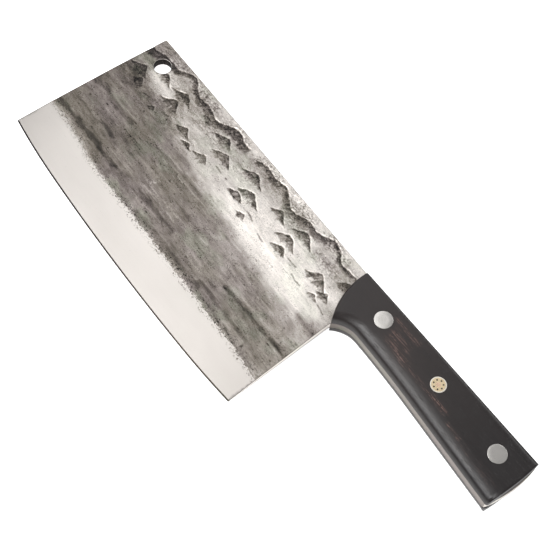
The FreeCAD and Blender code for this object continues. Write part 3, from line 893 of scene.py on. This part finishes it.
# Reddish figure in the wood: (x, y) from and to, half width, strength
FIGURE = [
    ((204, 90.6), (219, 91.0), 1.3, 0.8), ((208, 86.0), (219, 85.4), 1.6, 0.8),
    ((210, 82.0), (222, 79.6), 2.6, 0.8), ((224, 79.2), (250, 79.0), 1.0, 0.45),
    ((243, 79.4), (253, 79.0), 1.2, 0.85), ((258, 76.4), (266, 76.0), 0.9, 0.8),
    ((268, 74.0), (290, 73.4), 2.4, 0.15),
]

# The palm side is worked off in a long soft slope, the other edges are only broken.
BELLY_EDGE = [(0.0, 6.30), (0.12, 4.4), (0.42, 3.2), (0.92, 2.45), (1.6, 1.95), (2.5, 1.47),
              (3.4, 1.07), (4.3, 0.75), (5.2, 0.47), (6.1, 0.23), (7.0, 0.07), (7.9, 0.0)]
TOP_EDGE = [(0.0, 3.0), (0.06, 2.3), (0.16, 1.7), (0.3, 1.25), (0.5, 0.9), (0.75, 0.65),
            (1.05, 0.45), (1.4, 0.29), (1.85, 0.16), (2.4, 0.07), (3.0, 0.02), (3.6, 0.0)]
BUTT_EDGE = quarter(1.0, 1.2)
NOSE_EDGE = quarter(1.9, 3.2)


def make_scale(side, name):
    pieces = grip_pieces(SCALE_TIP_X, SCALE_BUTT_X, SCALE_BUTT_X, SCALE_BUTT_RADIUS)
    nose_end = neck_front(SCALE_TIP_X)
    nose_centre = centre_left(HANDLE_FRONT, nose_end, SCALE_FRONT_RADIUS)
    pieces.append(arc_about(nose_centre, HANDLE_FRONT, nose_end, 50))
    counts = [200, 50, 190, 60]
    belly, butt, top, nose = pieces
    scales = [
        np.interp(belly[:, 0], [188, 196, 204, 296], [0.50, 0.74, 0.94, 1.0]),
        np.ones(len(butt)),
        np.interp(top[:, 0], [176, 230, 296], [0.45, 0.60, 1.0]),
        np.interp(nose[:, 1], [66, 74, 84, 96], [0.35, 0.6, 0.8, 0.5]),
    ]
    edges = [BELLY_EDGE, BUTT_EDGE, TOP_EDGE, NOSE_EDGE]
    corner_radii = [0.4, 1.5, 0.5, 1.0]
    weights = [ring_weights(counts, k) for k in range(len(counts))]
    body = Builder()
    loops = []
    base = ring(pieces, [SEAM] * len(pieces), corner_radii, counts)
    loops.append(body.add(base, side * STEEL_HALF))
    for number in range(len(BELLY_EDGE)):
        insets = [SEAM + edge[number][0] * share for edge, share in zip(edges, scales)]
        radii = [max(0.3, radius - 0.5 * float(np.mean(inset)))
                 for radius, inset in zip(corner_radii, insets)]
        xy = ring(pieces, insets, radii, counts)
        drop = sum(weight * edge[number][1] for weight, edge in zip(weights, edges))
        loops.append(body.add(xy, side * (SCALE_OUTER - drop)))
    top_xy = xy
    for low, high in zip(loops[:-1], loops[1:]):
        body.strip(low, high, side)
    sinks = [((x, RIVET_Y), RIVET_HEAD_RADIUS + 0.10, RIVET_SLEEVE_RADIUS) for x in RIVET_XS]
    sinks += [(MOSAIC, MOSAIC_RADIUS + 0.02, MOSAIC_RADIUS)]
    top_holes = []
    low_holes = []
    for centre, outer_radius, inner_radius in sinks:
        stations = [(outer_radius, SCALE_OUTER)]
        if outer_radius - inner_radius > 0.1:
            stations.append((outer_radius, SCALE_OUTER - RIVET_HEAD_THICK))
            stations.append((inner_radius, SCALE_OUTER - RIVET_HEAD_THICK))
        stations.append((inner_radius, STEEL_HALF))
        rims = [body.add(circle(centre, radius, 72), side * z) for radius, z in stations]
        for top, low in zip(rims[:-1], rims[1:]):
            body.strip(top, low, side)
        top_holes.append((circle(centre, outer_radius, 72), rims[0]))
        low_holes.append((circle(centre, inner_radius, 72), rims[-1]))
    grid = grid_points((176, 296), (70, 98), 1.1, 1.0, 41)
    body.cap(top_xy, loops[-1], top_holes, (grid, np.full(len(grid), side * SCALE_OUTER)), side < 0)
    few = grid_points((180, 294), (74, 96), 5.0, 5.0, 42)
    body.cap(base, loops[0], low_holes, (few, np.full(len(few), side * STEEL_HALF)), side > 0)
    scale = body.build(name)
    points = np.vstack(body.points)
    ruddy = np.zeros(len(points))
    for start, end, half_width, amount in FIGURE:
        ruddy += amount * stroke(points[:, 0], points[:, 1], start, end, half_width)
    # Painted light on the wood: strongest near the front rivet, fading to none at the butt.
    pale = np.interp(points[:, 0], [178, 215, 250, 285], [0.75, 1.0, 0.55, 0.0])
    paint(scale, ruddy=ruddy, pale=pale)
    smooth(scale, 40)
    return scale


# ---- turned pieces

def lathe(name, centre, profile, count=72):
    """Closed body turned about an upright axis; the profile runs from the axis out and back to it."""
    body = Builder()
    loops = []
    for radius, z in profile:
        if radius == 0:
            loops.append(body.add(np.array([centre]), z))
        else:
            loops.append(body.add(circle(centre, radius, count), z))
    for low, high in zip(loops[:-1], loops[1:]):
        if len(low) == 1:
            for a, b in zip(high, np.roll(high, -1)):
                body.faces.append((low[0], b, a))
        elif len(high) == 1:
            for a, b in zip(low, np.roll(low, -1)):
                body.faces.append((a, b, high[0]))
        else:
            body.strip(low, high)
    thing = body.build(name)
    smooth(thing, 35)
    return thing


def head_profile(side):
    """Face of a rivet head, from the axis to its outer wall: a slight dome with a small edge radius."""
    top = SCALE_OUTER
    rim = RIVET_HEAD_RADIUS
    rows = [(0, top), (rim * 0.5, top - 0.001), (rim - 0.12, top - 0.004), (rim - 0.04, top - 0.015),
            (rim - 0.01, top - 0.04), (rim, top - 0.09)]
    return [(radius, side * z) for radius, z in rows]


def make_rivet(x, name):
    under = SCALE_OUTER - RIVET_HEAD_THICK
    centre = (x, RIVET_Y)
    sleeve = [(0, under - 1.2), (RIVET_BORE, under - 1.2), (RIVET_BORE, 0.5 - under),
              (RIVET_SLEEVE_RADIUS, 0.5 - under), (RIVET_SLEEVE_RADIUS, under), (RIVET_HEAD_RADIUS, under)]
    sleeve += head_profile(1)[::-1]
    pin = head_profile(-1) + [(RIVET_HEAD_RADIUS, -under), (RIVET_BORE, -under),
                              (RIVET_BORE, under - 1.7), (0, under - 1.7)]
    return lathe(name + "_sleeve", centre, sleeve), lathe(name + "_pin", centre, pin)


# ---- shader helper

class Shader:
    """One material and short ways to add nodes to it."""

    def __init__(self, name):
        self.material = bpy.data.materials.new(name)
        self.material.use_nodes = True
        self.tree = self.material.node_tree
        self.surface = self.tree.nodes["Principled BSDF"]
        self.place = self.tree.nodes.new("ShaderNodeTexCoord").outputs["Object"]

    def feed(self, socket, value):
        if isinstance(value, bpy.types.NodeSocket):
            self.tree.links.new(value, socket)
        else:
            socket.default_value = value

    def node(self, kind, inputs, output=0, **settings):
        made = self.tree.nodes.new(kind)
        for key, value in settings.items():
            setattr(made, key, value)
        for key, value in inputs.items():
            self.feed(made.inputs[key], value)
        return made.outputs[output]

    def stretched(self, x, y, z, turn=0.0):
        """Position with a different scale along each axis, in cells a millimetre."""
        per_metre = tuple(n / MM for n in (x, y, z))
        return self.node("ShaderNodeMapping", {"Vector": self.place, "Scale": per_metre,
                                               "Rotation": (0.0, 0.0, math.radians(turn))})

    def noise(self, cells, detail=3.0, roughness=0.5, distortion=0.0):
        """Noise from 0 to 1; the cells are what stretched takes."""
        return self.node("ShaderNodeTexNoise",
                         {"Vector": self.stretched(*cells), "Scale": 1.0, "Detail": detail,
                          "Roughness": roughness, "Distortion": distortion}, "Fac")

    def math(self, operation, a, b=0.0, c=0.0, clamp=False):
        return self.node("ShaderNodeMath", {0: a, 1: b, 2: c}, operation=operation, use_clamp=clamp)

    def add(self, a, b):
        return self.math("ADD", a, b)

    def less(self, a, b):
        return self.math("SUBTRACT", a, b)

    def times(self, a, b):
        return self.math("MULTIPLY", a, b)

    def swing(self, value, size):
        """Turns 0..1 noise into a swing of the given size about zero."""
        return self.math("MULTIPLY_ADD", value, 2 * size, -size)

    def span(self, value, low, high, to_low=0.0, to_high=1.0):
        return self.node("ShaderNodeMapRange", {"Value": value, "From Min": low, "From Max": high,
                                                "To Min": to_low, "To Max": to_high},
                         interpolation_type="SMOOTHSTEP")

    def blend(self, share, a, b):
        """Mix of two numbers."""
        return self.node("ShaderNodeMix", {0: share, 2: a, 3: b}, data_type="FLOAT")

    def tint(self, share, a, b):
        """Mix of two colours."""
        made = self.tree.nodes.new("ShaderNodeMix")
        made.data_type = "RGBA"
        self.feed(made.inputs[0], share)
        self.feed(made.inputs[6], a)
        self.feed(made.inputs[7], b)
        return made.outputs[2]

    def attribute(self, name):
        return self.node("ShaderNodeAttribute", {}, "Fac", attribute_name=name)

    def bump(self, height, distance, strength=1.0):
        """Bump whose height of 1 stands for the distance in millimetres."""
        normal = self.node("ShaderNodeBump", {"Height": height, "Distance": distance * MM,
                                              "Strength": strength})
        self.feed(self.surface.inputs["Normal"], normal)

    def finish(self, **values):
        for key, value in values.items():
            self.feed(self.surface.inputs[key.replace("_", " ")], value)
        return self.material


# ---- materials

def forged_steel():
    s = Shader("forged_steel")
    painted = ("tone", "grit", "past", "edge", "bare", "fuzz", "polish")
    tone, grit, past, edge, bare, fuzz, polish = (s.attribute(name) for name in painted)

    streak = s.noise((0.10, 1.5, 0.4), 5.0, 0.62)
    hatch = s.noise((0.9, 2.6, 0.8, 14.0), 4.0, 0.65)
    fine = s.noise((2.2, 3.4, 2.0), 3.0, 0.6)
    pits = s.noise((1.5, 1.9, 1.5), 2.0, 0.5)

    smear = s.noise((0.12, 0.5, 0.4, -24.0), 5.0, 0.68)
    scratch = s.noise((0.06, 2.4, 1.0, 2.0), 2.0, 0.5)
    forged = s.add(tone, s.swing(streak, 0.09))
    forged = s.add(forged, s.times(s.swing(hatch, 0.21), grit))
    fine_share = s.math("MULTIPLY_ADD", grit, 0.6, 0.32)
    forged = s.add(forged, s.times(s.swing(fine, 0.34), fine_share))
    forged = s.add(forged, s.swing(smear, 0.13))
    forged = s.add(forged, s.times(s.span(scratch, 0.66, 0.80), 0.10))
    crowd = s.noise((0.10, 0.28, 0.2), 3.0, 0.6)
    pit = s.span(s.math("MULTIPLY_ADD", crowd, 0.45, pits), 0.825, 0.92)
    forged = s.less(forged, s.times(pit, 0.20))

    ragged = s.noise((0.50, 0.8, 0.5), 5.0, 0.72)
    crumbs = s.noise((1.6, 2.0, 1.6), 2.0, 0.6)
    reach = s.add(past, s.add(s.swing(ragged, 2.6), s.swing(crumbs, 1.7)))
    reach = s.math("DIVIDE", reach, s.math("MULTIPLY_ADD", fuzz, 2.2, 0.55))
    ground = s.span(reach, -1.0, 1.0)
    speck = s.noise((0.85, 1.2, 0.8), 2.0, 0.5, 1.2)
    near = s.times(s.span(past, -5.0, -0.5), s.span(past, 3.2, 1.2))
    speck = s.times(s.span(speck, 0.57, 0.65), near)

    brushed = s.noise((0.05, 3.4, 1.0, 3.0), 3.0, 0.6)
    cloud = s.noise((0.03, 0.06, 0.05), 2.0, 0.5)
    # The bevel: its polished tone, which carries painted light, with fine brushing.
    polished = s.add(s.swing(brushed, 0.012), polish)
    polished = s.add(polished, s.swing(cloud, 0.03))
    seen = s.blend(ground, forged, polished)
    seen = s.less(seen, s.times(speck, 0.42))
    # Walls take their own tone, which holds their painted light and shade.
    seen = s.blend(s.span(bare, 0.0, 0.05), seen, bare)
    # The cutting edge gets a dark tone: a painted shade line along the edge.
    seen = s.blend(edge, seen, 0.24)
    seen = s.math("MAXIMUM", seen, 0.10)
    light = s.math("POWER", seen, 2.2)
    hue = s.span(s.noise((0.035, 0.06, 0.05), 3.0, 0.55), 0.35, 0.65)
    moss = s.span(s.noise((0.05, 0.09, 0.07, 20.0), 3.0, 0.55), 0.50, 0.66)
    dull = s.tint(hue, (1.0, 0.825, 0.765, 1.0), (0.99, 0.850, 0.690, 1.0))
    dull = s.tint(moss, dull, (0.965, 0.91, 0.72, 1.0))
    bright = s.tint(moss, (1.0, 0.940, 0.885, 1.0), (0.985, 0.947, 0.868, 1.0))
    warm = s.tint(s.span(seen, 0.30, 0.85), dull, s.tint(ground, bright, (1.0, 0.945, 0.895, 1.0)))
    colour = s.node("ShaderNodeVectorMath", {0: warm, "Scale": light}, operation="SCALE")

    roughness = s.blend(ground, s.span(seen, 0.2, 0.9, 0.62, 0.42), 0.30)
    roughness = s.add(roughness, s.swing(fine, 0.06))
    metallic = s.blend(ground, s.span(seen, 0.2, 0.9, 0.55, 0.85), 0.95)
    height = s.add(s.times(hatch, 0.8), s.times(fine, 0.5))
    height = s.less(height, s.times(pit, 0.5))
    height = s.times(height, s.blend(ground, 1.0, 0.0))
    height = s.add(height, s.times(brushed, 0.06))
    height = s.less(height, s.times(speck, 0.6))
    s.bump(height, 0.05)
    return s.finish(Base_Color=colour, Roughness=roughness, Metallic=metallic)


def dark_wood():
    s = Shader("dark_wood")
    ruddy = s.attribute("ruddy")
    pale = s.attribute("pale")
    fibre = s.noise((0.035, 2.2, 2.2), 4.0, 0.6)
    band = s.noise((0.022, 0.10, 0.10), 3.0, 0.55, 0.4)
    dash = s.noise((0.13, 1.7, 1.7), 3.0, 0.6)
    fleck = s.noise((0.9, 1.2, 1.2), 2.0, 0.6)
    pores = s.noise((0.16, 4.5, 4.5), 2.0, 0.5)
    pore = s.span(pores, 0.62, 0.70)
    colour = s.tint(s.span(fibre, 0.3, 0.75), (0.0064, 0.0042, 0.0045, 1), (0.0104, 0.0070, 0.0074, 1))
    # The painted front light, broken up by the grain bands, lifts the wood colour.
    light = s.times(pale, s.span(band, 0.25, 0.70, 0.55, 1.0))
    colour = s.tint(light, colour, (0.0205, 0.0140, 0.0130, 1))
    colour = s.tint(s.math("MULTIPLY", ruddy, 0.55, clamp=True), colour, (0.038, 0.020, 0.017, 1))
    red = s.times(ruddy, s.span(dash, 0.50, 0.62))
    red = s.math("MULTIPLY", red, s.span(fleck, 0.36, 0.52), clamp=True)
    colour = s.tint(red, colour, (0.165, 0.100, 0.085, 1))
    colour = s.tint(s.times(pore, 0.6), colour, (0.004, 0.003, 0.003, 1))
    roughness = s.add(s.swing(band, 0.10), 0.33)
    height = s.less(s.times(fibre, 0.6), pore)
    s.bump(height, 0.025)
    return s.finish(Base_Color=colour, Roughness=roughness, Specular_IOR_Level=0.5)


def turned_metal(name, colour, roughness, variation=0.04):
    s = Shader(name)
    lines = s.noise((0.25, 6.0, 1.0, 25.0), 3.0, 0.6)
    stain = s.noise((0.35, 0.35, 0.35), 3.0, 0.6)
    value = s.add(s.swing(lines, variation * 0.5), s.swing(stain, variation * 0.7))
    value = s.add(value, 1.0)
    base = s.node("ShaderNodeVectorMath", {0: colour, "Scale": value}, operation="SCALE")
    rough = s.add(s.swing(stain, 0.07), roughness)
    s.bump(lines, 0.0008)
    return s.finish(Base_Color=base, Roughness=rough, Metallic=0.95)


def dark_resin():
    s = Shader("pin_resin")
    stain = s.noise((1.5, 1.5, 1.5), 3.0, 0.6)
    colour = s.tint(stain, (0.012, 0.007, 0.004, 1), (0.040, 0.022, 0.012, 1))
    s.bump(stain, 0.01)
    return s.finish(Base_Color=colour, Roughness=s.span(stain, 0, 1, 0.3, 0.5))


def pale_floor():
    """Floor that glows more for the camera than for the object, so that it shows as plain white."""
    s = Shader("pale_floor")
    mottle = s.noise((0.01, 0.01, 0.01), 3.0, 0.5)
    colour = s.tint(mottle, (0.84, 0.84, 0.84, 1), (0.87, 0.87, 0.87, 1))
    seen = s.tree.nodes.new("ShaderNodeLightPath").outputs["Is Camera Ray"]
    glow = s.math("MULTIPLY_ADD", seen, 0.60, 0.36)
    return s.finish(Base_Color=colour, Roughness=0.9, Emission_Color=(1, 1, 1, 1), Emission_Strength=glow)


def dress(thing, material):
    thing.data.materials.clear()
    thing.data.materials.append(material)


def stand_in(thing, material, node):
    """Dresses a new piece, fixes it to the object and lets it stand for a CAD node."""
    dress(thing, material)
    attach(thing, "root")
    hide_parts(node)


# ---- pieces

steel = forged_steel()
wood = dark_wood()
rivet_metal = turned_metal("rivet_steel", (0.60, 0.58, 0.555), 0.22, 0.018)
silver = turned_metal("nickel_silver", (0.93, 0.87, 0.76), 0.28)
brass = turned_metal("brass", (0.82, 0.67, 0.44), 0.28, 0.12)
copper = turned_metal("copper", (0.88, 0.64, 0.46), 0.28, 0.16)
resin = dark_resin()

stand_in(make_blade(), steel, "blade")

for side, name in ((1, "front_scale"), (-1, "rear_scale")):
    stand_in(make_scale(side, name + "_wood"), wood, name)

for x, name in zip(RIVET_XS, ("neck_end_rivet", "butt_end_rivet")):
    for piece, node in zip(make_rivet(x, name + "_turned"), (name + "_sleeve", name + "_pin")):
        stand_in(piece, rivet_metal, node)


def recolour(node, material):
    """Gives a CAD node that stays in view its finished material."""
    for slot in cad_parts[node].material_slots:
        slot.link = "OBJECT"
        slot.material = material


recolour("mosaic_tube", silver)
recolour("mosaic_core", copper)
recolour("mosaic_body", brass)
for number in range(1, 8):
    recolour("mosaic_dot_%d" % number, resin)


# ---- floor, light and camera

def panel(name, spot, aim, width, height, strength):
    """Soft rectangular light whose surface has the given brightness."""
    light = bpy.data.lights.new(name, "AREA")
    light.shape = "RECTANGLE"
    light.size = width
    light.size_y = height
    light.energy = strength * math.pi * width * height
    spot = Vector(spot)
    turned = (Vector(aim) - spot).to_track_quat("-Z", "Y").to_matrix().to_4x4()
    place(name, light).matrix_world = Matrix.Translation(spot) @ turned


FLOOR_HALF = 30          # metres
floor_mesh = bpy.data.meshes.new("floor")
corners = [(FLOOR_HALF * x, FLOOR_HALF * y, 0) for x, y in ((-1, -1), (1, -1), (1, 1), (-1, 1))]
floor_mesh.from_pydata(corners, [], [(0, 1, 2, 3)])
floor = place("floor", floor_mesh)
dress(floor, pale_floor())

world = bpy.data.worlds.new("studio")
world.use_nodes = True
sky = world.node_tree
direction = sky.nodes.new("ShaderNodeTexCoord").outputs["Generated"]
split = sky.nodes.new("ShaderNodeSeparateXYZ")
sky.links.new(direction, split.inputs[0])
lift = sky.nodes.new("ShaderNodeMapRange")
lift.interpolation_type = "SMOOTHSTEP"
for name, value in (("From Min", 0.05), ("From Max", 0.80), ("To Min", 0.22), ("To Max", 0.44)):
    lift.inputs[name].default_value = value
sky.links.new(split.outputs["Z"], lift.inputs["Value"])
sky.nodes["Background"].inputs["Color"].default_value = (1, 1, 1, 1)
sky.links.new(lift.outputs[0], sky.nodes["Background"].inputs["Strength"])
bpy.context.scene.world = world

panel("key_panel", (-0.42, 0.32, 1.10), (0, 0, 0), 0.50, 0.85, 1.1)
panel("strip_panel", (-0.38, -0.46, 1.15), (0.00, -0.02, 0), 1.00, 0.26, 9.8)
panel("fill_panel", (0.00, -1.05, 1.00), (0.10, 0, 0), 1.20, 0.60, 2.4)
panel("far_panel", (-0.05, 1.00, 0.80), (0.10, 0, 0), 1.20, 0.28, 3.3)

# Where the camera of the photograph stood, and its axes, in the frame of the CAD
CAMERA_SPOT = Vector((0.18587, -0.17395, 0.50765))
CAMERA_RIGHT = Vector((0.59886, 0.79759, 0.0722))
CAMERA_UP = Vector((-0.72912, 0.5057, 0.46115))
CAMERA_BACK = Vector((0.3313, -0.3288, 0.88438))
lens = bpy.data.cameras.new("camera")
lens.sensor_width = 36.0
lens.lens = 75.27
lens.clip_start = 0.01
camera = place("camera", lens)
turned = Matrix((CAMERA_RIGHT, CAMERA_UP, CAMERA_BACK)).transposed().to_4x4()
camera.matrix_world = Matrix.Translation(CAMERA_SPOT) @ turned
bpy.context.scene.camera = camera
bpy.context.scene.view_settings.view_transform = "Standard"
bpy.context.scene.view_settings.look = "None"

bpy.context.view_layer.update()
